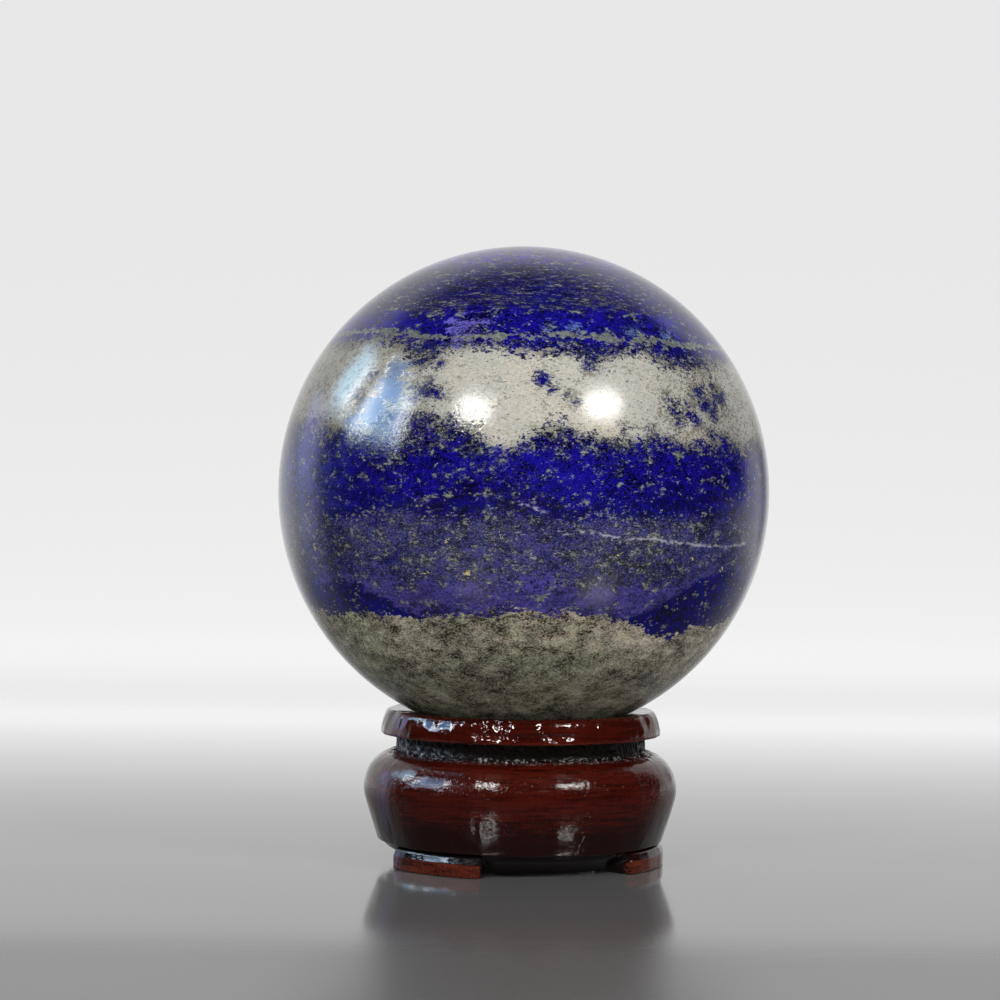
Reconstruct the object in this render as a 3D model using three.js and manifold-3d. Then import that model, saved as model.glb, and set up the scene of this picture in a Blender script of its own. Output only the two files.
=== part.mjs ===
// A polished stone sphere resting on a small turned wooden stand with three low feet.
// Millimetres, +Z up. The origin is on the stand's axis, on the surface that the feet stand on,
// and -Y is the front. Angles round the stand are counted from the front towards +X.

import * as THREE from 'three';
import { mergeVertices } from 'three/addons/utils/BufferGeometryUtils.js';
import Module from 'manifold-3d';

// The sphere
const sphereRadius = 37.5;
const sphereBottom = 19.0; // height of its lowest point, inside the stand's dish
const sphereSegments = 64;
const sphereRings = 32;

// The stand's turned body
const standSegments = 64;
const pointsPerCurve = 4;
const coreRadius = 17.6; // plain underside, a little clear of the surface
const coreBottom = 0.3;
const covePoints = [[18.7, 1.5], [19.7, 2.1], [20.35, 2.6], [20.7, 3.3]]; // hollow between core and lip
const lipRadius = 21.75; // lower edge of the body, over the feet
const lipHeight = 3.75;
const lipRounding = 0.3;
const bellyRadius = 23.93; // widest turn
const bellyHeight = 11.5;
const bellyEase = 1.7; // how far below the widest turn the cone starts
const coneTopRadius = 23.7;
const shoulderRadius = 19.4; // where the shoulder meets the groove under the neck
const shoulderHeight = 16.75;
const grooveRadius = 18.8;
const neckRadius = 19.0;
const neckBottom = 17.2;
const neckTop = 19.5;
const ringBottomRadius = 21.35; // the ring flares outwards on its way down
const ringTopRadius = 21.0;
const ringHeight = 23.2;
const ringEdgeDepth = 1.4; // how far the rounding over the ring's top edge comes down
const ringLowerRounding = 0.4;
const rimOuterRadius = 20.0; // flat rim on top of the ring
const rimInnerRadius = 17.6;
const rimInnerHeight = 23.0;
const dishRadius = 16.6; // hollow that the sphere sits in
const dishEdgeHeight = 22.3;
const dishBottom = 17.5;
const dishFlatRadius = 13.0;

// The three feet: short arcs of one flat flange, cut by hand, so no two are alike
const footOuterRadius = 22.0;
const footInnerRadius = 15.0; // hidden in the core
const footHeight = 2.07;
const footArcs = [[-59.5, -15.5], [48.5, 115.5], [177, 229]]; // degrees
const pointsPerFoot = 10;

const material = (color, roughness) => new THREE.MeshStandardMaterial({ color, roughness, metalness: 0 });

// Half of the stand's section: x is the distance from the axis and y the height.
function standSection() {
  const section = new THREE.Path();
  section.moveTo(0, coreBottom);
  section.lineTo(coreRadius, coreBottom);
  for (const [radius, height] of covePoints) {
    section.lineTo(radius, height);
  }
  section.lineTo(lipRadius - lipRounding, lipHeight - lipRounding);
  section.lineTo(lipRadius, lipHeight);
  section.lineTo(coneTopRadius, bellyHeight - bellyEase);
  section.quadraticCurveTo(bellyRadius, bellyHeight - bellyEase / 2, bellyRadius, bellyHeight);
  const shoulderReach = [bellyRadius - shoulderRadius, shoulderHeight - bellyHeight];
  section.absellipse(shoulderRadius, bellyHeight, ...shoulderReach, 0, Math.PI / 2, false);
  section.lineTo(grooveRadius, (shoulderHeight + neckBottom) / 2);
  section.lineTo(neckRadius, neckBottom);
  section.lineTo(neckRadius, neckTop);
  section.lineTo(ringBottomRadius - ringLowerRounding, neckTop);
  section.lineTo(ringBottomRadius, neckTop + ringLowerRounding);
  section.lineTo(ringTopRadius, ringHeight - ringEdgeDepth);
  section.quadraticCurveTo(ringTopRadius, ringHeight, rimOuterRadius, ringHeight);
  section.lineTo(rimInnerRadius, rimInnerHeight);
  section.lineTo(dishRadius, dishEdgeHeight);
  section.quadraticCurveTo(dishFlatRadius, dishBottom, 0, dishBottom);
  return section.getPoints(pointsPerCurve);
}

function turnedBody() {
  return new THREE.LatheGeometry(standSection(), standSegments).rotateX(Math.PI / 2);
}

function foot([from, to]) {
  const shapeAngle = (degrees) => THREE.MathUtils.degToRad(degrees - 90); // 0 is the front, -Y
  const outline = new THREE.Shape();
  outline.absarc(0, 0, footOuterRadius, shapeAngle(from), shapeAngle(to), false);
  outline.absarc(0, 0, footInnerRadius, shapeAngle(to), shapeAngle(from), true);
  const settings = { depth: footHeight, bevelEnabled: false, curveSegments: pointsPerFoot };
  return new THREE.ExtrudeGeometry(outline, settings);
}

function toManifold(wasm, geometry) {
  const bare = geometry.clone();
  bare.deleteAttribute('normal');
  bare.deleteAttribute('uv');
  const merged = mergeVertices(bare);
  return new wasm.Manifold(new wasm.Mesh({
    numProp: 3,
    vertProperties: new Float32Array(merged.attributes.position.array),
    triVerts: new Uint32Array(merged.index.array),
  }));
}

function toGeometry(solid) {
  const mesh = solid.getMesh();
  const geometry = new THREE.BufferGeometry();
  geometry.setAttribute('position', new THREE.BufferAttribute(new Float32Array(mesh.vertProperties), 3));
  geometry.setIndex(new THREE.BufferAttribute(new Uint32Array(mesh.triVerts), 1));
  geometry.computeVertexNormals();
  return geometry;
}

function makeSphere() {
  const geometry = new THREE.SphereGeometry(sphereRadius, sphereSegments, sphereRings).rotateX(Math.PI / 2);
  const sphere = new THREE.Mesh(geometry, material(0x1a1c78, 0.08));
  sphere.name = 'sphere';
  sphere.position.z = sphereBottom + sphereRadius;
  return sphere;
}

function makeStand(wasm) {
  let solid = toManifold(wasm, turnedBody());
  for (const arc of footArcs) {
    solid = solid.add(toManifold(wasm, foot(arc)));
  }
  const stand = new THREE.Mesh(toGeometry(solid), material(0x4a1009, 0.25));
  stand.name = 'stand';
  return stand;
}

const wasm = await Module();
wasm.setup();

const sphereOnStand = new THREE.Group();
sphereOnStand.add(makeSphere(), makeStand(wasm));

export default sphereOnStand;
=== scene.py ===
import math
from functools import reduce
from statistics import NormalDist

import bmesh
import bpy
import numpy as np
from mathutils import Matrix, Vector


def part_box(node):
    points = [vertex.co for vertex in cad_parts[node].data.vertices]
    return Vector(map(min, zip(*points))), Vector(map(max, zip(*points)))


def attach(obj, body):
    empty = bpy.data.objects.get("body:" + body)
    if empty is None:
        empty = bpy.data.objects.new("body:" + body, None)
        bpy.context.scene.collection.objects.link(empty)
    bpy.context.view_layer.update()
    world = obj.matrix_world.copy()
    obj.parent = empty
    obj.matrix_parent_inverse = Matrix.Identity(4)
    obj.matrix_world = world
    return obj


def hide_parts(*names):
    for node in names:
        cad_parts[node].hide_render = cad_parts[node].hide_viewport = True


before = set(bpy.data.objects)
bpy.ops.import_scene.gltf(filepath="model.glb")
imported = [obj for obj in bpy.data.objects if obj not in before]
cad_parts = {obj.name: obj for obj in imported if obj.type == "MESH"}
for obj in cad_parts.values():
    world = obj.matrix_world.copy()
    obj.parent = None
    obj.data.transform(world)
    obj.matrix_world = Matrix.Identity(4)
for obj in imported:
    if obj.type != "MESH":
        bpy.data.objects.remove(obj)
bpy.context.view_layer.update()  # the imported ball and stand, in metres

mm = 0.001
perRadian = math.degrees(1)
ballLow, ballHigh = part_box("sphere")
standLow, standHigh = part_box("stand")
ballCentre = (ballLow + ballHigh) / 2
ballRadius = (ballHigh.z - ballLow.z) / 2
print("frame loaded")


class Wire:
    # a node's output; plain arithmetic on it adds Math nodes
    def __init__(self, finish, socket):
        self.finish = finish
        self.socket = socket

    def __add__(self, other):
        return self.finish.maths("ADD", self, other)

    def __radd__(self, other):
        return self.finish.maths("ADD", other, self)

    def __sub__(self, other):
        return self.finish.maths("SUBTRACT", self, other)

    def __rsub__(self, other):
        return self.finish.maths("SUBTRACT", other, self)

    def __mul__(self, other):
        return self.finish.maths("MULTIPLY", self, other)

    def __rmul__(self, other):
        return self.finish.maths("MULTIPLY", other, self)

    def __truediv__(self, other):
        return self.finish.maths("DIVIDE", self, other)

    def __rtruediv__(self, other):
        return self.finish.maths("DIVIDE", other, self)


class Finish:
    # the node tree of a material or a world, with short ways to add to it
    def __init__(self, owner, shader="Principled BSDF"):
        self.owner = owner
        owner.use_nodes = True
        self.nodes = owner.node_tree.nodes
        self.links = owner.node_tree.links
        self.shader = self.nodes[shader]

    def feed(self, socket, value):
        if isinstance(value, Wire):
            self.links.new(value.socket, socket)
        else:
            socket.default_value = value

    def node(self, kind, settings=None, inputs=None, out=0):
        made = self.nodes.new(kind)
        for name, value in (settings or {}).items():
            if name == "stops":
                self.setStops(made.color_ramp, value)
            elif name == "interpolation":
                made.color_ramp.interpolation = value
            else:
                setattr(made, name, value)
        for name, value in (inputs or {}).items():
            self.feed(made.inputs[name], value)
        return Wire(self, made.outputs[out])

    def setStops(self, ramp, stops):
        for extra in range(len(stops) - 2):
            ramp.elements.new(0.5)
        for element, (place, colour) in zip(ramp.elements, stops):
            element.position = place
            element.color = colour

    def maths(self, operation, *values):
        return self.node("ShaderNodeMath", {"operation": operation}, dict(enumerate(values)))

    def most(self, values):
        return reduce(lambda first, second: self.maths("MAXIMUM", first, second), values)

    def vector(self, operation, first, second, out=0):
        return self.node("ShaderNodeVectorMath", {"operation": operation}, {0: first, 1: second}, out)

    def scale(self, colour, amount):
        return self.node("ShaderNodeVectorMath", {"operation": "SCALE"}, {0: colour, 3: amount})

    def blend(self, share, low, high):
        return self.node("ShaderNodeMix", {"data_type": "RGBA"}, {0: share, 6: low, 7: high}, 2)

    def rise(self, value, low, high):  # 0 under low, 1 over high, smooth between
        inputs = {"Value": value, "From Min": low, "From Max": high}
        return self.node("ShaderNodeMapRange", {"interpolation_type": "SMOOTHSTEP"}, inputs)

    def bell(self, value, middle, halfWidth):  # 1 at the middle, 0 from halfWidth away
        return 1 - self.rise(self.maths("ABSOLUTE", value - middle), 0.0, halfWidth)

    def parts(self, colour):
        split = self.node("ShaderNodeSeparateXYZ", inputs={0: colour})
        return [Wire(self, output) for output in split.socket.node.outputs]

    def ramp(self, value, stops, interpolation="LINEAR"):
        settings = {"interpolation": interpolation, "stops": stops}
        return self.node("ShaderNodeValToRGB", settings, {0: value})

    def fields(self, where, scale, detail, rough):  # three noises about 0, mostly between -2 and 2
        octaveSpread = 0.13  # how far one octave strays from its mean of 0.5
        weights = [rough ** octave for octave in range(detail + 1)]
        spread = octaveSpread * math.hypot(*weights) / sum(weights)
        inputs = {"Vector": where, "Scale": scale, "Detail": detail, "Roughness": rough}
        noise = self.node("ShaderNodeTexNoise", inputs=inputs, out=1)
        around = self.vector("SUBTRACT", noise, (0.5,) * 3)
        return self.parts(self.vector("MULTIPLY", around, (1 / spread,) * 3))

    def bump(self, height, strength, distance):
        inputs = {"Height": height, "Strength": strength, "Distance": distance}
        return self.node("ShaderNodeBump", inputs=inputs)

    def set(self, **values):  # an underscore stands for a space in the socket's name
        for name, value in values.items():
            self.feed(self.shader.inputs[name.replace("_", " ")], value)


def rgb(red, green, blue):
    return (red, green, blue, 1.0)


def grey(value):
    return rgb(value, value, value)


def makePiece(name, verts, faces, material, node):
    mesh = bpy.data.meshes.new(name)
    mesh.from_pydata(verts, [], faces)
    mesh.validate()
    mesh.shade_smooth()
    piece = bpy.data.objects.new(name, mesh)
    bpy.context.scene.collection.objects.link(piece)
    mesh.materials.append(material)
    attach(piece, "root")
    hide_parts(node)
    return piece


# Camera
camera = {
    "place": (-3.6, -400.0, 55.2),  # mm
    "lens": 93.9,
    "sensor": 36.0,
    "lean": -0.7,  # degrees
}


def makeCamera():
    data = bpy.data.cameras.new("camera")
    data.lens = camera["lens"]
    data.sensor_width = camera["sensor"]
    data.clip_start = 0.01
    made = bpy.data.objects.new("camera", data)
    made.location = Vector(camera["place"]) * mm
    made.rotation_euler = (math.radians(90), math.radians(camera["lean"]), 0)
    bpy.context.scene.collection.objects.link(made)
    bpy.context.scene.camera = made


# The stone ball. Places on it are in degrees: azimuth from the front towards +X, and latitude.
stone = {
    "violet": rgb(0.055, 0.026, 0.280),
    "night": rgb(0.003, 0.003, 0.125),
    "vivid": rgb(0.005, 0.003, 0.180),
    "deep": rgb(0.004, 0.003, 0.115),
    "slate": rgb(0.036, 0.036, 0.165),
    "lavender": rgb(0.056, 0.046, 0.245),
    "dusk": rgb(0.001, 0.001, 0.120),
    "sky": rgb(0.075, 0.115, 0.300),
    # pale blue of the window's painted reflection on the calcite
    "windowReflection": rgb(0.160, 0.265, 0.500),
    "lilac": rgb(0.130, 0.120, 0.450),
    "black": rgb(0.002, 0.002, 0.026),
    "olive": rgb(0.162, 0.182, 0.148),
    "oliveDark": rgb(0.040, 0.042, 0.032),
    "pale": rgb(0.400, 0.410, 0.390),
    "pyrite": rgb(0.740, 0.640, 0.320),
    "vein": rgb(0.480, 0.480, 0.600),
    "calcite": rgb(0.560, 0.540, 0.470),
    "calciteCool": rgb(0.500, 0.505, 0.465),
    "calciteShade": rgb(0.230, 0.220, 0.170),
    "rock": rgb(0.315, 0.290, 0.225),
    "rockPale": rgb(0.460, 0.440, 0.370),
    "rockDark": rgb(0.085, 0.076, 0.050),
    "rockGreen": rgb(0.275, 0.285, 0.195),
    "rockWarm": rgb(0.400, 0.330, 0.250),
    # layers from the bottom up: latitude, blue, and the shares of olive, pale and black grains
    "layers": [
        (-30, "deep", 0.10, 0.010, 0.05), (-27, "lavender", 0.05, 0.010, 0.01),
        (-21, "lavender", 0.05, 0.010, 0.01), (-19, "slate", 0.30, 0.050, 0.08),
        (-12, "slate", 0.45, 0.070, 0.12), (-6.5, "slate", 0.45, 0.060, 0.15),
        (-5, "night", 0.12, 0.030, 0.18), (-2, "vivid", 0.08, 0.030, 0.22),
        (1, "vivid", 0.06, 0.012, 0.14), (8, "vivid", 0.10, 0.016, 0.12),
        (12, "deep", 0.35, 0.050, 0.12), (31, "deep", 0.35, 0.050, 0.20),
        (34, "vivid", 0.16, 0.030, 0.20), (37, "vivid", 0.12, 0.010, 0.05),
        (38.5, "vivid", 0.01, 0.004, 0.03), (43, "vivid", 0.02, 0.006, 0.06),
        (44.5, "night", 0.40, 0.040, 0.30), (50, "night", 0.18, 0.040, 0.35),
        (60, "night", 0.22, 0.030, 0.25), (66, "violet", 0.15, 0.010, 0.05)],
    # edges that run round the ball, as (azimuth, latitude)
    "calciteTop": [(-180, 32), (-90, 36), (-60, 35), (-42, 34.5), (-33, 32), (-27, 28.5), (-20, 31.5),
                   (-8, 32), (-2, 30.5), (8, 31.5), (14, 30.5), (17, 29), (22, 29.5), (30, 32), (37, 30),
                   (48, 29), (60, 31), (90, 33), (140, 29)],
    "calciteBottom": [(-180, 12), (-90, 16), (-60, 14.5), (-48, 14), (-38, 13), (-30, 17), (-20, 16),
                      (-13, 13.5), (-7, 9.5), (0, 11.5), (6, 14), (12, 12.5), (18, 11), (30, 12), (42, 11),
                      (60, 10), (90, 13), (140, 10)],
    "rockTop": [(-180, -30), (-90, -27), (-60, -29), (-40, -28.5), (-20, -29), (-8, -27.5), (15, -27.5),
                (26, -29), (32, -31.5), (40, -33.5), (46, -33), (51, -31), (60, -31), (90, -29),
                (140, -33)],
    "duskTop": [(-180, -24), (-90, -20), (-62, -20), (-46, -20.5), (-38, -23), (-30, -28), (-15, -32),
                (15, -32), (28, -28.5), (36, -25), (42, -21.5), (48, -18.5), (56, -17), (66, -19),
                (100, -23)],
    "oliveLine": [(-180, 38), (-60, 38), (-45, 38), (-32, 36.5), (-20, 35.5), (0, 36.2), (14, 36.5),
                  (24, 35.5), (40, 35.5), (55, 35), (90, 36)],
    # veins, as the azimuths of their ends and the line that they lie on
    "veins": [
        (-2.5, 4.0, [(-180, -2), (-3, -2.4), (0, -2.9), (4, -4.1), (8, -5), (90, -5)]),
        (5.5, 10.5, [(-180, -8), (5, -7.8), (10, -9.6), (14, -9.8), (90, -9)]),
        (11.5, 62.0, [(-180, -8), (11, -8.4), (20, -9.6), (30, -10.3), (44, -11.3), (60, -11.2),
                      (90, -8)])],
    # spots, as (azimuth, latitude, size)
    "islands": [(3.5, 25.0, 1.1), (6.5, 22.5, 0.4), (9.0, 21.0, 0.3), (11.0, 19.5, 0.1),
                (-26.3, 21.4, 1.7), (-24.0, 21.8, 1.8), (-21.6, 21.4, 1.4), (36.3, 19.2, 1.5),
                (37.0, 17.0, 1.5), (40.5, 17.8, 1.3), (42.5, 17.0, 1.2), (46.0, 22.5, 1.8),
                (47.0, 19.8, 2.0), (49.5, 18.5, 1.4), (54.5, 22.0, 1.5), (53.0, 24.5, 0.9),
                (-41.5, 26.3, 0.6), (-44.3, 22.0, 0.9), (16.5, 28.5, 1.2), (-27.0, 30.0, 1.6),
                (-22.0, 28.5, 0.6), (22.5, 14.0, 0.6), (47.0, 12.5, 1.0), (52.0, 11.0, 1.5),
                (29.5, 12.0, 1.0)],
    "skies": [(6.0, 38.8, 1.4), (13.5, 37.8, 1.6), (31.0, 38.0, 2.0), (43.0, 37.5, 2.2), (-7.5, 9.8, 0.8)],
    "violets": [(-19.5, 38.5, 2.6), (-14.0, 39.5, 2.2), (-16.0, 33.8, 2.2), (-20, 34.0, 2.0),
                (24.0, 27.5, 3.2), (9.0, 15.0, 2.0), (5.0, 13.5, 1.6)],
    # spots of painted window reflection on the calcite, as (azimuth, latitude, size)
    "windowReflectionSpots": [(-33.0, 27.0, 3.0), (-34.5, 23.0, 4.0), (-38.0, 18.0, 3.6), (-43.0, 14.5, 2.4)],
    "nights": [(-46.5, -12.0, 3.0), (-34.0, -8.0, 2.0), (-33.0, -14.0, 2.6), (-45.0, -17.0, 2.2)],
    "gold": [(-23.3, -18.3, 0.3), (-13.0, -18.0, 0.55), (-5.5, -9.5, 0.3), (-56.5, -13.2, 0.4),
             (-17.5, -11.0, 0.1), (53.0, -16.8, 0.4), (41.5, -14.5, 0.3), (21.0, -13.5, 0.1),
             (6.5, -13.8, 0.2), (26.5, -33.8, 0.6), (28.5, -34.0, 0.4)],
    # noises, as (scale, detail, roughness)
    "broad": (4.0, 2, 0.5),
    "patch": (18.0, 5, 0.65),
    "grain": (60.0, 3, 0.65),
    "dust": (130.0, 1, 0.6),
    "streak": (14.0, 5, 0.6),
    # the grain is squeezed upwards, so that it lies along the layers, and more so near the top
    "squeeze": 0.6,
    "topSqueeze": 4.0,
    "topFrom": 0.69,  # share of the radius
    "polish": 0.03,  # roughness of the blue
    "unevenness": 0.0045,  # mm
    "cuts": 119,  # along each edge of the cube that is blown up to the ball
}


def towards(azimuth, latitude):
    a = math.radians(azimuth)
    b = math.radians(latitude)
    return Vector((math.cos(b) * math.sin(a), -math.cos(b) * math.cos(a), math.sin(b)))


def edgeRound(f, azimuth, points):  # a latitude that changes round the ball
    reach = 100.0
    stops = [(a / 360 + 0.5, grey(b / reach + 0.5)) for a, b in points]
    stops.append((1.0, stops[0][1]))
    return (f.ramp(azimuth / 360 + 0.5, stops, "CARDINAL") - 0.5) * reach


def insideSpots(f, unit, spots):  # degrees inside the edge of the nearest spot
    depths = []
    for azimuth, latitude, size in spots:
        away = f.vector("DISTANCE", unit, towards(azimuth, latitude), 1)
        depths.append(size - away * perRadian)
    return f.most(depths)


def sector(f, azimuth, start, full):  # 0 up to start, 1 from full on, 0 again at the back
    return f.rise(azimuth, start, full) * (1 - f.rise(azimuth, 100.0, 150.0))


class BallPlace:
    # a point of the ball: its azimuth and latitude, and the noises there, three of each size
    def __init__(self, f):
        place = f.node("ShaderNodeTexCoord", out=3)
        self.unit = f.vector("MULTIPLY", f.vector("SUBTRACT", place, ballCentre), (1 / ballRadius,) * 3)
        x, y, z = f.parts(self.unit)
        self.azimuth = f.maths("ARCTAN2", x, y * -1) * perRadian
        self.latitude = f.maths("ARCSINE", z) * perRadian
        self.leftish = sector(f, self.azimuth * -1, 15.0, 45.0)  # 0 in front, 1 well to the side
        self.rightish = sector(f, self.azimuth, 22.0, 42.0)
        nearTop = f.maths("MAXIMUM", z - stone["topFrom"], 0.0)
        squeeze = z * stone["squeeze"] + nearTop * stone["topSqueeze"]
        flat = f.vector("ADD", self.unit, f.node("ShaderNodeCombineXYZ", inputs={2: squeeze}))
        self.broadA, self.broadB, self.broadC = f.fields(self.unit, *stone["broad"])
        self.patchA, self.patchB, self.patchC = f.fields(flat, *stone["patch"])
        self.grainA, self.grainB, self.grainC = f.fields(flat, *stone["grain"])
        self.dustA, self.dustB, self.dustC = f.fields(flat, *stone["dust"])


def layerValues(f, here):  # each layer's blue, and how rare its olive, pale and black grains are
    reach = 8.0
    blues = []
    rarities = []
    for latitude, name, *shares in stone["layers"]:
        place = latitude / 180 + 0.5
        rare = [NormalDist().inv_cdf(1 - share) / reach + 0.5 for share in shares]
        blues.append((place, stone[name]))
        rarities.append((place, rgb(*rare)))
    level = here.latitude + here.broadA * 0.7 + here.patchA * 0.7 + here.grainA * 0.3
    place = level / 180 + 0.5
    spread = f.vector("SUBTRACT", f.ramp(place, rarities), (0.5,) * 3)
    return [f.ramp(place, blues)] + f.parts(f.vector("MULTIPLY", spread, (reach,) * 3))


def calciteEdge(f, here):  # degrees inside the calcite, and a band of grains along its edges
    above = edgeRound(f, here.azimuth, stone["calciteTop"]) - here.latitude
    below = here.latitude - edgeRound(f, here.azimuth, stone["calciteBottom"])
    ragged = here.patchB * 0.9 + here.grainB * 0.75 + here.dustA * 0.35 + here.broadB * 0.5
    inside = f.maths("MINIMUM", above, below) + ragged
    ragged = here.patchC * 0.5 + here.grainC * 0.6 + here.dustA * 0.35
    inIsland = insideSpots(f, here.unit, stone["islands"]) + 0.35 + ragged
    edgeBand = f.bell(inside, -0.3, 2.6) * (1 - f.rise(inIsland, -1.5, 0.0))
    edgeBand = edgeBand + f.bell(inIsland, 0.1, 0.5) * 0.6
    return f.maths("MINIMUM", inside, inIsland * -1), edgeBand


def makeBlue(f, here, blue, inDusk):
    # painted reflection: a sky-blue haze on the left rim, about the equator
    paintedRimHaze = sector(f, here.azimuth * -1, 38.0, 62.0) * f.bell(here.latitude, 0.0, 20.0)
    blue = f.blend(paintedRimHaze * 0.35, blue, stone["sky"])
    blue = f.blend(inDusk, blue, stone["dusk"])
    sky = insideSpots(f, here.unit, stone["skies"]) + here.patchC * 0.5 + here.grainB * 0.5
    blue = f.blend(f.rise(sky, -0.8, 1.2) * 0.8, blue, stone["sky"])
    violet = insideSpots(f, here.unit, stone["violets"]) + here.patchC * 0.6 + here.grainC * 0.4
    blue = f.blend(f.rise(violet, -1.0, 1.2) * 0.7, blue, stone["lilac"])
    night = insideSpots(f, here.unit, stone["nights"]) + here.patchB + here.grainC * 0.5
    blue = f.blend(f.rise(night, -1.2, 1.2) * 0.8, blue, stone["night"])
    smooth = f.bell(here.latitude, -24.0, 6.0) * (1 - inDusk)
    tone = here.patchC * 0.4 + here.grainC * 0.5 + here.dustC * 0.6 + here.broadB * 0.3
    tone = tone * (1 - smooth * 0.6)
    # painted light: the blue is also painted brighter on the left side
    return f.scale(blue, f.rise(tone, -1.4, 1.6) * 1.75 + 0.15 + here.leftish * 0.2)


def oliveGrains(f, here, oliveRare, edgeBand):  # where they are, and their colour
    olive = here.patchA * 0.6 + here.grainA * 0.45 + here.dustA * 0.6 - oliveRare
    olive = olive + edgeBand * 1.5 + here.broadC * 0.25 - here.rightish * 0.55
    tone = f.rise(here.grainB * 0.7 + here.dustC * 0.9, -1.5, 1.5)
    colour = f.blend(tone, stone["oliveDark"], stone["olive"])
    colour = f.scale(colour, 1 - f.rise(here.latitude, 41.0, 46.0) * 0.15)
    return f.rise(olive, -1.5, 2.1), colour


def oliveLine(f, here):
    away = here.latitude - edgeRound(f, here.azimuth, stone["oliveLine"]) + here.patchB * 0.3
    line = f.bell(away, 0.0, 1.5) * 3.0 + here.grainB * 0.5 + here.patchA * 0.8
    return f.rise(line, 1.1, 2.2) * 0.85


def veinShare(f, here):
    lines = []
    for start, end, points in stone["veins"]:
        away = here.latitude - edgeRound(f, here.azimuth, points) + here.patchC * 0.14 + here.grainA * 0.1
        line = f.bell(away, 0.0, 0.5) * f.rise(here.azimuth, start - 1, start + 1)
        lines.append(line * (1 - f.rise(here.azimuth, end - 1.5, end + 1.5)))
    return f.most(lines) * f.rise(here.patchB + here.grainC * 0.6, -1.6, 0.7) * 0.9


def makeCalcite(f, here, inCalcite):  # greyer and more specked towards the sides
    aside = f.rise(f.maths("ABSOLUTE", here.azimuth - 2), 15.0, 60.0)
    warmth = f.rise(here.broadA + here.patchA * 0.5 - here.leftish, -1.2, 1.2)
    calcite = f.blend(warmth, stone["calciteCool"], stone["calcite"])
    smudge = here.patchB * 0.7 + here.grainB * 0.6 + aside * 0.9 + f.bell(inCalcite, 0.0, 3.0) * 1.2
    calcite = f.blend(f.rise(smudge, 0.9, 2.4) * 0.8, calcite, stone["calciteShade"])
    calcite = f.scale(calcite, 1.03 - aside * 0.28 + (here.grainC + here.dustC) * 0.06)
    # painted reflection: a pale blue patch where the window is reflected in the calcite
    windowReflection = insideSpots(f, here.unit, stone["windowReflectionSpots"]) + here.patchC * 0.9 + here.grainC * 0.6
    calcite = f.blend(f.rise(windowReflection, -1.0, 1.5) * 0.8, calcite, stone["windowReflection"])
    # painted highlight: white glints along the edge of the painted window reflection
    paintedGlint = f.rise(here.grainA + here.patchA * 0.5 + here.dustA * 0.4, 0.9, 1.5)
    calcite = f.blend(f.bell(windowReflection, 0.0, 2.2) * paintedGlint, calcite, grey(0.95))
    speck = here.dustB * 0.7 + here.grainA * 0.7 + here.rightish * 0.8 + f.bell(inCalcite, 0.0, 2.5) * 0.6
    return f.blend(f.rise(speck, 1.7, 2.3) * 0.85, calcite, stone["oliveDark"])


def makeRock(f, here, inRock):
    inputs = {"Vector": here.unit, "Rotation": (0, 0.6, 0), "Scale": (1, 1, 1.6)}
    leaning = f.node("ShaderNodeMapping", inputs=inputs)
    streakA, streakB, _ = f.fields(leaning, *stone["streak"])
    tone = here.patchA * 0.3 + streakA * 0.45 + here.grainB * 0.3 + here.dustC * 0.65 + here.broadC * 0.4
    greenness = f.rise(here.broadB + here.patchC * 0.5 - here.leftish * 2, -2.5, 0.5)
    rock = f.blend(greenness, stone["rockGreen"], stone["rock"])
    warm = f.bell(here.azimuth, 10.0, 34.0) * f.rise(here.latitude, -40.0, -31.0)
    warm = warm * f.rise(streakB + here.broadC, -1.2, 0.8)
    rock = f.blend(warm * 0.9, rock, stone["rockWarm"])
    rock = f.blend(f.rise(tone, 0.5, 2.6) * 0.6, rock, stone["rockPale"])
    edgeShade = f.bell(inRock, 0.8, 2.4) * f.rise(here.broadA + here.patchC * 0.5, -0.5, 1.0) * 1.2
    rock = f.blend(f.rise(edgeShade - tone, 0.1, 2.6), rock, stone["rockDark"])
    # painted light: the rock is painted brighter towards its top, and it is also brighter at the sides
    paintedLift = 1.2 + f.rise(here.latitude, -50.0, -34.0) * 0.5 + here.rightish * 0.4 + here.leftish * 0.4
    return f.scale(rock, f.rise(tone, -2.8, 2.8) * paintedLift + 0.2)


def goldShare(f, here, paleRare):
    flecks = insideSpots(f, here.unit, stone["gold"]) + here.grainB * 0.3 + here.dustC * 0.2
    strewn = here.dustC * 0.8 + here.grainA * 0.5 + here.patchB * 0.5 - paleRare - 0.85
    pocket = f.bell(here.azimuth, 16.5, 7.0) * f.bell(here.latitude, 13.5, 3.5)
    return f.most([f.rise(flecks, -0.1, 0.2), f.rise(strewn + pocket * 1.6, 0.5, 1.1)])


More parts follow.
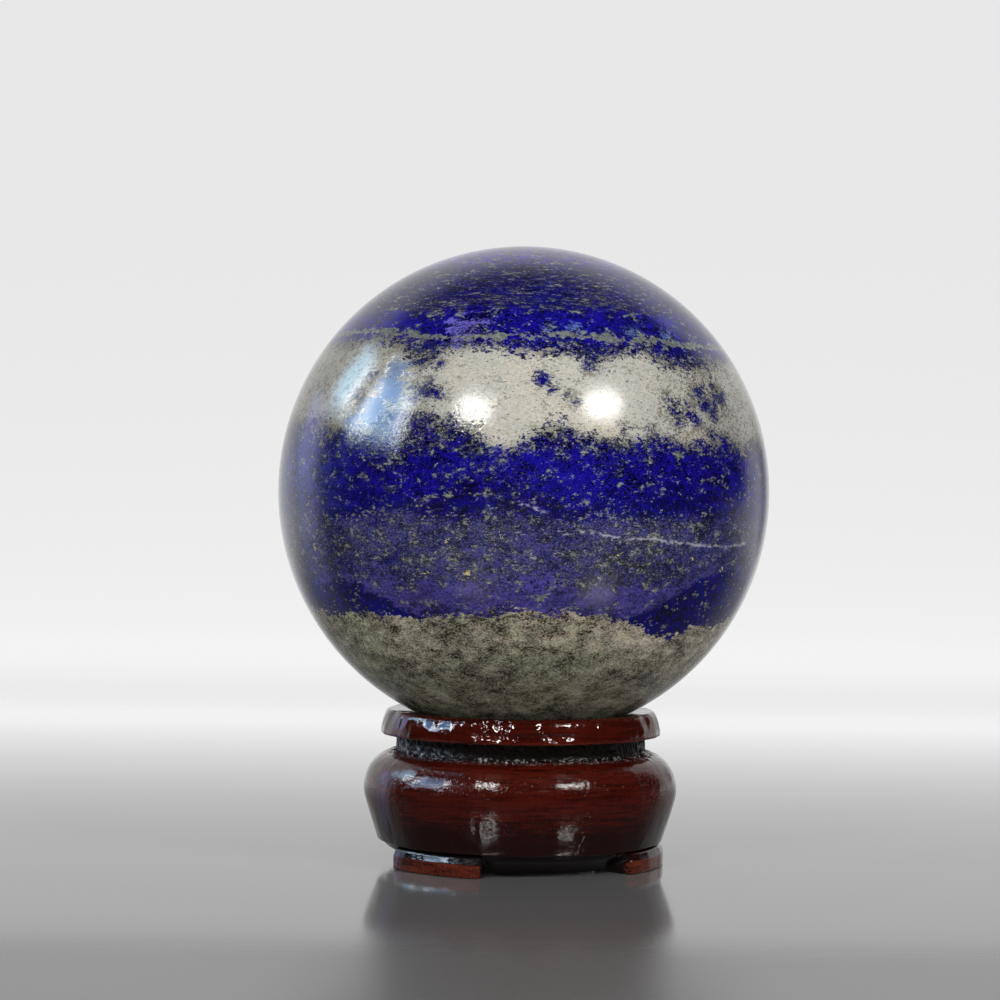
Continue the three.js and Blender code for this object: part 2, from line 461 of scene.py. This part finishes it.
def makeStone():
    f = Finish(bpy.data.materials.new("lapis"))
    here = BallPlace(f)
    inCalcite, edgeBand = calciteEdge(f, here)
    ragged = here.patchB * 0.5 + here.grainB * 0.4
    inRock = edgeRound(f, here.azimuth, stone["rockTop"]) - here.latitude + ragged
    ragged = here.patchA * 0.6 + here.broadC * 0.5
    dusk = edgeRound(f, here.azimuth, stone["duskTop"]) - here.latitude + ragged
    inDusk = f.rise(dusk, -0.8, 0.8)
    layerBlue, oliveRare, paleRare, blackRare = layerValues(f, here)
    blue = makeBlue(f, here, layerBlue, inDusk)

    # grains in the blue
    black = here.grainC * 0.6 + here.dustB * 0.8 - blackRare
    blue = f.blend(f.rise(black, -0.5, 0.8) * 0.85, blue, stone["black"])
    oliveMask, oliveColour = oliveGrains(f, here, oliveRare + inDusk * 2.2, edgeBand)
    blue = f.blend(oliveMask * (0.75 - here.rightish * 0.2), blue, oliveColour)
    blue = f.blend(oliveLine(f, here), blue, f.scale(stone["olive"][:3], 1.1 + here.grainB * 0.25))
    pale = here.dustA * 0.85 + here.grainB * 0.5 + here.patchA * 0.4 - paleRare
    pale = pale + edgeBand * 0.5 - here.rightish * 0.4
    blue = f.blend(f.rise(pale, -0.3, 1.4) * 0.75, blue, stone["pale"])
    blue = f.blend(veinShare(f, here), blue, stone["vein"])

    calciteMask = f.rise(inCalcite, -1.1, 1.2)
    rockMask = f.rise(inRock, -0.35, 0.4)
    gold = goldShare(f, here, paleRare) * (1 - rockMask * 0.7)
    colour = f.blend(calciteMask, blue, makeCalcite(f, here, inCalcite))
    colour = f.blend(rockMask, colour, makeRock(f, here, inRock))
    f.set(Base_Color=f.blend(gold, colour, stone["pyrite"]), Metallic=gold * 0.15)
    dulled = (oliveMask * 0.05 + calciteMask * 0.035) * (1 - here.leftish)
    f.set(Roughness=stone["polish"] + dulled)
    f.set(Normal=f.bump(here.grainB + here.dustA * 0.4, 0.5, stone["unevenness"] * mm))
    return f.owner


def makeBall():
    ball = bmesh.new()
    bmesh.ops.create_cube(ball, size=2.0)
    bmesh.ops.subdivide_edges(ball, edges=ball.edges[:], cuts=stone["cuts"], use_grid_fill=True)
    for vert in ball.verts:
        even = Vector([math.tan(c * math.pi / 4) for c in vert.co])
        vert.co = ballCentre + even.normalized() * ballRadius
    verts = [vert.co[:] for vert in ball.verts]
    faces = [[vert.index for vert in face.verts] for face in ball.faces]
    ball.free()
    return makePiece("ball", verts, faces, makeStone(), "sphere")


# The stand, in mm and degrees. A section is its first point, as (radius, height), and then its steps.
# A step is the next point and how many rows of the mesh lead to it, after a corner where it bends.
standTop = standHigh.z / mm
bellyEdge = (standHigh.x / mm, 11.5)  # the widest turn
shoulder = (19.4, 16.75)  # the upper end of the rounding over the belly
neckLow = 17.2
neckHigh = 19.5
dishMiddle = (0, 17.5)
stand = {
    "underBetween": [  # between the feet, from the middle of the underside to the lip
        (0, 0.3), ((14.9, 0.3), 3), ((15.1, 0.3), 2), ((17.2, 0.3), 5), ((17.6, 0.3), (17.7, 0.7), 4),
        ((18.1, 1.1), 6), ((18.5, 1.4), 4), ((19.1, 1.85), (20.0, 2.3), 7),
        ((20.6, 2.6), (20.75, 3.3), 6)],
    "underFoot": [  # the same way, through a foot
        (0, 0.3), ((14.9, 0.3), 3), ((15.1, 0.0), 2), ((21.6, 0.0), 5), ((22.0, 0.0), (22.0, 0.4), 4),
        ((22.0, 1.85), 6), ((22.0, 2.05), (21.95, 2.15), 4), ((21.72, 2.85), 8),
        ((21.5, 3.25), (20.75, 3.3), 5)],
    "lipToBelly": [
        (20.75, 3.3), ((21.75, 3.3), (21.75, 3.75), 7), ((22.86, 6.65), (23.7, 9.8), 22),
        ((bellyEdge[0], 10.6), bellyEdge, 6)],
    "neckToDish": [
        shoulder, ((18.8, 16.9), 3), ((19.0, neckLow), 3), ((19.0, neckHigh), 16),
        ((21.0, neckHigh), 4), ((21.35, neckHigh), (21.35, 19.9), 5), ((21.32, 20.9), (20.97, 21.9), 12),
        ((20.6, 23.15), (20.0, standTop), 10), ((17.3, 23.05), 6), ((16.8, 22.9), (16.4, 22.0), 4),
        ((13.0, dishMiddle[1]), dishMiddle, 5)],
    "shoulderRows": 22,
    "footArcs": [(-59.5, -15.5), (48.5, 115.5), (177.0, 229.0)],
    "columns": 604,
    "seed": 8,
    "waveRadius": 21,  # where the carving's waves have their true size
    "strokes": 104,  # gouge marks round the neck
    # a plane cut: its middle and ends round the ring, its tilt (outward, upward) and how far out it lies
    "facet": {"middle": -11.0, "from": -25.0, "to": 3.5, "tilt": (0.934, 0.358), "reach": 27.25},
    "nicks": [  # azimuth, height, size, depth
        (-17.0, 21.2, 0.7, 0.16), (8.5, 22.3, 0.8, 0.2), (31.0, 22.6, 1.0, 0.16),
        (-38.0, 22.7, 1.3, 0.15), (64.0, 22.5, 1.2, 0.25), (12.0, 20.6, 0.5, 0.12),
        (-70.0, 22.8, 1.5, 0.25), (110.0, 22.7, 1.4, 0.2), (150.0, 22.4, 1.0, 0.2),
        (-140.0, 22.6, 1.6, 0.25), (-25.0, 5.0, 0.45, 0.12), (39.0, 13.6, 0.3, 0.2)],
    "nickRadius": 21.5,
    "crack": 24.5,  # where it crosses the belly
    "crackRadius": 22,
    "red": rgb(0.062, 0.0055, 0.0022),
    "redDark": rgb(0.026, 0.0022, 0.0012),
    "redWorn": rgb(0.130, 0.024, 0.012),
    "brown": rgb(0.006, 0.0011, 0.0009),
    "black": rgb(0.004, 0.002, 0.002),
    # noises, as (scale, detail, roughness)
    "grain": (170.0, 4, 0.65),
    "coarse": (620.0, 2, 0.6),
    "fine": (2300.0, 2, 0.6),
    "turning": 14.0,  # how much finer the grain is upwards than round the stand
    "polish": 0.05,  # roughness of the lacquer where it is smoothest
    "ior": 1.42,
    "unevenness": 0.014,
}


def profile(start, *steps):  # the points along one stretch of a section
    path = []
    for *corner, end, rows in steps:
        part = np.arange(rows)[:, None] / rows
        if corner:
            corner = np.array(corner[0])
            rounded = np.array(start) * (1 - part) ** 2 + corner * 2 * part * (1 - part)
            path.append(rounded + np.array(end) * part ** 2)
        else:
            path.append(np.array(start) * (1 - part) + np.array(end) * part)
        start = end
    return np.vstack(path)


def standSections():
    # two sections from the middle of the underside to the middle of the dish:
    # one between the feet and one through a foot. They share every point from the lip up.
    turn = np.radians(np.arange(stand["shoulderRows"]) / stand["shoulderRows"] * 90)[:, None]
    roundRadius = shoulder[0] + (bellyEdge[0] - shoulder[0]) * np.cos(turn)
    roundHeight = bellyEdge[1] + (shoulder[1] - bellyEdge[1]) * np.sin(turn)
    shared = [profile(*stand["lipToBelly"]), np.hstack([roundRadius, roundHeight]),
              profile(*stand["neckToDish"]), np.array([dishMiddle])]
    return [np.vstack([profile(*stand[under])] + shared) for under in ("underBetween", "underFoot")]


def clipped(values, low, high):  # 0 at low, 1 at high
    return np.clip((values - low) / (high - low), 0, 1)


def plateau(values, low, full, end, gone):  # 1 from full to end, 0 under low and over gone
    return clipped(values, low, full) * (1 - clipped(values, end, gone))


def waver(draw, angle, along, size, count=14):  # smooth relief about 0 with bumps of a size, in mm
    total = 0
    for wave in range(count):
        way = draw.uniform(0, 2 * math.pi)
        pitch = 2 * math.pi / size * draw.uniform(0.6, 1.5)
        turns = round(stand["waveRadius"] * pitch * math.cos(way))
        total = total + np.sin(turns * angle + pitch * math.sin(way) * along + draw.uniform(0, 6.28))
    return total / math.sqrt(count / 2)


def carve(angle, radius, height, along):  # how far the surface stands out of its turned shape, in mm
    draw = np.random.default_rng(stand["seed"])
    slow = waver(draw, angle, along, 9.0)
    medium = waver(draw, angle, along, 3.2)
    quick = waver(draw, angle, along, 1.4, 20)
    lean = waver(draw, angle, along * 0.2, 7.0)
    degrees = np.degrees(angle)
    outside = clipped(radius, 18.2, 18.7) * (1 - clipped(height, standTop - 0.2, standTop) * 0.6)
    relief = (slow * 0.020 + medium * 0.008 + quick * 0.004) * outside
    ring = clipped(height, neckHigh - 0.05, neckHigh + 0.4) * clipped(radius, 19.6, 20.6)
    relief += ring * (medium * 0.014 + quick * 0.006)

    # gouge marks round the neck, with beads of lacquer under them
    strokes = np.abs(np.sin(angle * stand["strokes"] / 2 + height * 1.5 + lean * 1.8 + medium * 0.7))
    neck = plateau(height, neckLow - 0.2, neckLow + 0.1, neckHigh - 0.2, neckHigh + 0.1)
    neck = neck * (1 - clipped(radius, 19.3, 19.8))
    relief -= neck * (0.34 * (1 - strokes) ** 1.5 + 0.05 * quick - 0.06)
    beads = np.clip(quick + 0.5 * medium - 0.3, 0, 1.2) * 0.22
    relief += beads * np.exp(-((height - neckLow + 0.15) / 0.35) ** 2) * clipped(radius, 18.6, 18.9)

    # a flat facet and a shallow chisel cut on the front of the ring
    facet = stand["facet"]
    outward, upward = facet["tilt"]
    cut = outward * radius * np.cos(angle - math.radians(facet["middle"])) + upward * height
    cut = cut - facet["reach"] - medium * 0.07 - quick * 0.05
    wanted = plateau(degrees, facet["from"], facet["from"] + 4, facet["to"], facet["to"] + 0.9)
    relief -= np.clip(cut, 0, 1.5) * wanted * ring * 1.05
    ledge = plateau(height, 19.75, 20.95, 20.98, 21.15)
    wanted = plateau(degrees + medium * 2, -26.0, -20.0, 20.0, 27.0)
    relief -= ledge * wanted * ring * (0.3 + medium * 0.05)

    for place, level, size, depth in stand["nicks"]:
        across = np.radians((degrees - place + 180) % 360 - 180) * stand["nickRadius"]
        relief -= depth * np.exp(-(across ** 2 + (height - level) ** 2) / size ** 2) * outside

    # a hairline crack down the belly, filled in places
    line = stand["crack"] + np.sin(height * 0.9) * 0.5 + (height - 11) * 0.16
    across = np.radians(degrees - line) * stand["crackRadius"]
    crack = np.exp(-(across / 0.16) ** 2) * plateau(height, 3.6, 4.5, 14.8, 15.8)
    relief += crack * (0.07 - 0.14 * clipped(quick, -0.5, 0.8))
    return relief


def makeLacquer():
    f = Finish(bpy.data.materials.new("lacquer"))
    place = f.node("ShaderNodeTexCoord", out=3)
    stain = f.node("ShaderNodeAttribute", {"attribute_name": "stain"}, out=2)
    wear = f.node("ShaderNodeAttribute", {"attribute_name": "wear"}, out=2)
    x, y, z = f.parts(place)
    height = z / mm
    turned = f.vector("MULTIPLY", place, (1.0, 1.0, stand["turning"]))
    grainA, grainB, grainC = f.fields(turned, *stand["grain"])
    specks, pimples, scuffs = f.fields(place, *stand["fine"])
    chips, _, _ = f.fields(place, *stand["coarse"])

    cone = 1 - f.rise(height + (grainA + specks * 0.5) * 0.4, 6.0, 10.5)
    wood = f.blend(f.rise(grainA + specks * 0.4, -2.6, 2.2), stand["redDark"], stand["red"])
    wood = f.blend(cone * 0.85, wood, stand["brown"])
    worn = f.rise(wear * 2.2 + grainB * 0.25 + specks * 0.2, 0.9, 2.6)
    wood = f.blend(worn, wood, stand["redWorn"])
    # black stain, and painted shadow on the rim's top where the ball sits
    stainedAndShaded = f.rise(stain * 2.5 + scuffs * 0.3 + grainC * 0.2, 0.9, 1.7)
    wood = f.blend(stainedAndShaded, wood, stand["black"])
    beads = f.bell(height, neckLow - 0.2, 0.5) * f.rise(pimples + chips * 0.5, 0.9, 1.6) * 0.8
    f.set(Base_Color=f.blend(beads, wood, grey(0.8)), Metallic=beads)

    aboveBelly = f.rise(height, neckLow - 0.6, neckLow)
    ring = f.rise(height, neckHigh - 0.1, neckHigh + 0.3)
    neck = aboveBelly * (1 - ring) * (1 - beads)
    rough = f.rise(scuffs + grainC, 0.0, 2.5) * 0.09 + beads * 0.2 + neck * 0.3
    f.set(Roughness=stand["polish"] + rough, IOR=stand["ior"])

    # pimpled lacquer, roughest in the neck and where the ring was cut in front
    upToBelly = 1 - aboveBelly
    front = f.bell(f.maths("ARCTAN2", x, y * -1), 0.0, 0.6) * ring
    front = front * (1 - f.rise(height, 20.9, 21.6) * 0.6)
    uneven = pimples * (0.14 + aboveBelly * 0.5 - ring * 0.5) + chips * front * 4.5
    uneven = uneven + f.rise(pimples, 0.6, 1.7) * 1.6 * upToBelly
    uneven = uneven + grainB * (0.10 + f.rise(height, 9.0, 10.5) * 0.3) * upToBelly
    f.set(Normal=f.bump(uneven, 0.5, stand["unevenness"] * mm))
    return f.owner


def footShares(around, section):  # how far each point belongs to a foot, and the ends of the feet
    draw = np.random.default_rng(stand["seed"] + 1)
    wander = waver(draw, np.zeros(1), section[:, 1] * 2 + section[:, 0] * 0.3, 4.0) * 0.12
    foot = np.zeros((len(around), len(section)))
    ends = np.zeros_like(foot)
    for start, end in stand["footArcs"]:
        reach = (end - start) / 2
        away = np.abs((around - (start + end) / 2 + 180) % 360 - 180)
        foot = np.maximum(foot, np.clip((reach + 0.2 + wander - away) / 0.6, 0, 1))
        ends = np.maximum(ends, clipped(away, reach - 1.0, reach - 0.4) * (away < reach + 3.0) * 0.35)
    return foot, ends


def gridFaces(columns, rows):  # round the stand, and closed with a middle point at either end
    faces = []
    middle = columns * rows
    for column in range(columns):
        here = column * rows
        beside = (column + 1) % columns * rows
        for row in range(rows - 1):
            faces.append((here + row, beside + row, beside + row + 1, here + row + 1))
        faces.append((middle, beside, here))
        faces.append((middle + 1, here + rows - 1, beside + rows - 1))
    return faces


def addLayer(piece, name, values, middle):  # a value for each point of the grid, and one for both middles
    layer = piece.data.attributes.new(name, "FLOAT", "POINT")
    values = np.append(values[:, 1:-1].reshape(-1), [middle] * 2)
    layer.data.foreach_set("value", values.astype(np.float32))


def makeStand():
    between, through = standSections()
    around = np.linspace(-180, 180, stand["columns"], endpoint=False)[:, None]
    angle = np.radians(around)
    foot, ends = footShares(around, between)
    radius = between[:, 0] * (1 - foot) + through[:, 0] * foot
    height = between[:, 1] * (1 - foot) + through[:, 1] * foot
    stepR = np.gradient(radius, axis=1)
    stepZ = np.gradient(height, axis=1)
    length = np.hypot(stepR, stepZ) + 1e-9
    relief = carve(angle, radius, height, np.cumsum(length, axis=1))
    outR = radius + relief * stepZ / length
    outZ = np.maximum(height - relief * stepR / length, np.minimum(height, between[0, 1]))
    grid = np.stack([outR * np.sin(angle), -outR * np.cos(angle), outZ], axis=-1)[:, 1:-1] * mm
    columns, rows, _ = grid.shape
    middles = [(0, 0, between[0, 1] * mm), (0, 0, between[-1, 1] * mm)]
    verts = [tuple(point) for point in grid.reshape(-1, 3)] + middles
    faces = gridFaces(columns, rows)
    piece = makePiece("stand-wood", verts, faces, makeLacquer(), "stand")

    # black stain in the neck and on the left feet's bevels, black in the hollow and at the feet's ends,
    # and painted shadow on the rim's top, where the ball sits
    neck = plateau(height, 16.72, 16.85, 19.45, 19.65)
    cove = (1 - clipped(height, 3.25, 3.7)) * (1 - clipped(radius, 21.1, 21.6))
    # painted shadow where the ball meets the rim
    rimShadow = clipped(height, 22.4, 22.9) * (1 - clipped(radius, 19.7, 20.3))
    bevel = foot * plateau(height, 2.05, 2.2, 3.2, 3.6) * (around < 0)
    stain = np.maximum.reduce([neck, cove, rimShadow, bevel, ends * (height < 3.0)])
    addLayer(piece, "stain", stain, 1.0)

    # worn on the edges, and on the outside of the feet
    bend = np.hypot(np.gradient(stepR / length, axis=1), np.gradient(stepZ / length, axis=1)) / length
    onFoot = clipped(radius, 20.8, 21.5) * (1 - clipped(height, 1.9, 2.1))
    edges = np.clip(bend * 0.9, 0, 1) * clipped(radius, 20.2, 20.8)
    wear = edges * (clipped(height, 4.5, 5.0) * 0.7 + onFoot) + foot * onFoot * 0.8
    wear = np.maximum(wear, foot * (1 - foot) * 4 * onFoot)
    addLayer(piece, "wear", np.clip(wear, 0, 1), 0.0)
    return piece


# Stage, in metres
stage = {
    "paper": rgb(0.17, 0.17, 0.175),
    "rough": (0.30, 0.10, 0.70),  # in front of the object, round it and behind it
    "ior": 1.75,
    "glow": 0.75,  # the backdrop is lit from behind
    "halfWidth": 1.3,
    "front": -1.2,
    "back": 1.1,
    "curve": 0.5,
    "height": 1.6,
}

# azimuth, elevation, distance m, width m, height m, radiance, spread, tint and what it lights:
# all, only matt surfaces, only gloss, or only the gloss of the object's own pieces
softboxes = {
    "keyLeft": (-27.0, 36.0, 1.2, 0.27, 0.085, 75.0, 50, (1.0, 0.98, 0.95), "all"),
    "keyRight": (42.0, 37.5, 1.2, 0.30, 0.105, 68.0, 50, (1.0, 0.98, 0.95), "all"),
    "fill": (6.0, 12.0, 1.2, 0.60, 0.30, 10.0, 150, (1.0, 0.98, 0.94), "matt"),
    "windowFront": (-76.5, 31.0, 1.6, 0.62, 0.46, 6.5, 150, (0.22, 0.54, 1.0), "pieces"),
    "windowSill": (-79.0, 21.5, 1.6, 0.90, 0.16, 12.0, 150, (0.58, 0.76, 1.0), "pieces"),
    "windowBack": (-112.0, 31.0, 1.6, 0.40, 0.48, 6.5, 150, (0.40, 0.72, 1.0), "pieces"),
    "windowLow": (-126.0, 11.0, 1.6, 0.70, 0.50, 1.2, 150, (0.20, 0.28, 1.0), "gloss"),
    "frameRight": (-64.5, 29.0, 1.6, 0.035, 0.52, 60.0, 150, (1.0, 1.0, 1.0), "pieces"),
    "frameMiddle": (-88.5, 29.0, 1.6, 0.030, 0.50, 50.0, 150, (1.0, 1.0, 1.0), "pieces"),
    "frameLeft": (-104.0, 31.0, 1.6, 0.030, 0.44, 50.0, 150, (1.0, 1.0, 1.0), "pieces"),
}

# brightness overhead and in front, behind the object, and of what is seen past the stage
room = {"dim": 0.03, "bright": 0.95, "seen": 0.78}


def makePaper():
    f = Finish(bpy.data.materials.new("paper"))
    x, y, z = f.parts(f.node("ShaderNodeTexCoord", out=3))
    front, near, behind = stage["rough"]
    rough = front + f.rise(y, -0.09, -0.05) * (near - front) + f.rise(y, 0.2, 0.45) * (behind - near)
    f.set(Base_Color=stage["paper"], Roughness=rough, IOR=stage["ior"])

    # it glows behind the object, but less low down on the far right, and in a patch right of it
    farRight = f.bell(x / f.maths("MAXIMUM", y, 0.05), 0.62, 0.2)
    dim = farRight * f.rise(y, 0.3, 0.45) * (1 - f.rise(z, 0.15, 0.4))
    patch = f.bell(x, 0.33, 0.13) * f.bell(y, 0.17, 0.12)
    light = f.most([f.rise(y, 0.0, 0.48) * (1 - dim * 0.8), patch])
    f.set(Emission_Color=f.blend(light, grey(0.0), grey(1.0)), Emission_Strength=stage["glow"])
    return f.owner


def makeStage():
    turn = np.radians(np.linspace(0, 90, 24))
    flatEnd = stage["back"] - stage["curve"]
    path = [(stage["front"], 0.0)]
    path += [(flatEnd + stage["curve"] * math.sin(a), stage["curve"] * (1 - math.cos(a))) for a in turn]
    path.append((stage["back"], stage["height"]))
    verts = [(end * stage["halfWidth"], y, z) for y, z in path for end in (-1, 1)]
    faces = [(2 * i, 2 * i + 1, 2 * i + 3, 2 * i + 2) for i in range(len(path) - 1)]
    mesh = bpy.data.meshes.new("sweep")
    mesh.from_pydata(verts, [], faces)
    mesh.shade_smooth()
    mesh.materials.append(makePaper())
    sweep = bpy.data.objects.new("sweep", mesh)
    bpy.context.scene.collection.objects.link(sweep)


def makeLights(pieces):
    shiny = bpy.data.collections.new("shiny")
    for piece in pieces:
        shiny.objects.link(piece)
    for name, softbox in softboxes.items():
        azimuth, elevation, distance, width, height, radiance, spread, tint, lit = softbox
        data = bpy.data.lights.new(name, "AREA")
        data.shape = "RECTANGLE"
        data.size = width
        data.size_y = height
        half = math.radians(spread) / 2
        data.spread = 2 * half
        data.energy = radiance * math.pi * width * height * (1 - half / math.tan(half))
        data.color = tint
        made = bpy.data.objects.new(name, data)
        made.visible_diffuse = lit in ("all", "matt")
        made.visible_glossy = lit != "matt"
        if lit == "pieces":
            made.light_linking.receiver_collection = shiny
        direction = towards(azimuth, elevation)
        made.location = ballCentre + direction * distance
        made.rotation_euler = direction.to_track_quat("Z", "Y").to_euler()
        bpy.context.scene.collection.objects.link(made)


def makeRoom():
    f = Finish(bpy.data.worlds.new("room"), "Background")
    x, y, z = f.parts(f.node("ShaderNodeTexCoord"))
    behind = f.rise(y - f.maths("MAXIMUM", x, 0.0) * 0.3, 0.22, 0.5) * (1 - f.rise(z, 0.55, 0.85))
    glow = f.scale((1.0, 1.0, 1.0), behind * room["bright"] + room["dim"])
    seen = f.node("ShaderNodeLightPath")  # 1 where it is seen directly
    f.set(Color=f.blend(seen, glow, grey(room["seen"])))
    bpy.context.scene.world = f.owner
    bpy.context.scene.view_settings.view_transform = "Standard"


makeCamera()
print("camera placed")
ball = makeBall()
print("ball made")
wood = makeStand()
print("stand made")
makeStage()
makeLights([ball, wood])
makeRoom()
print("stage and lights made")
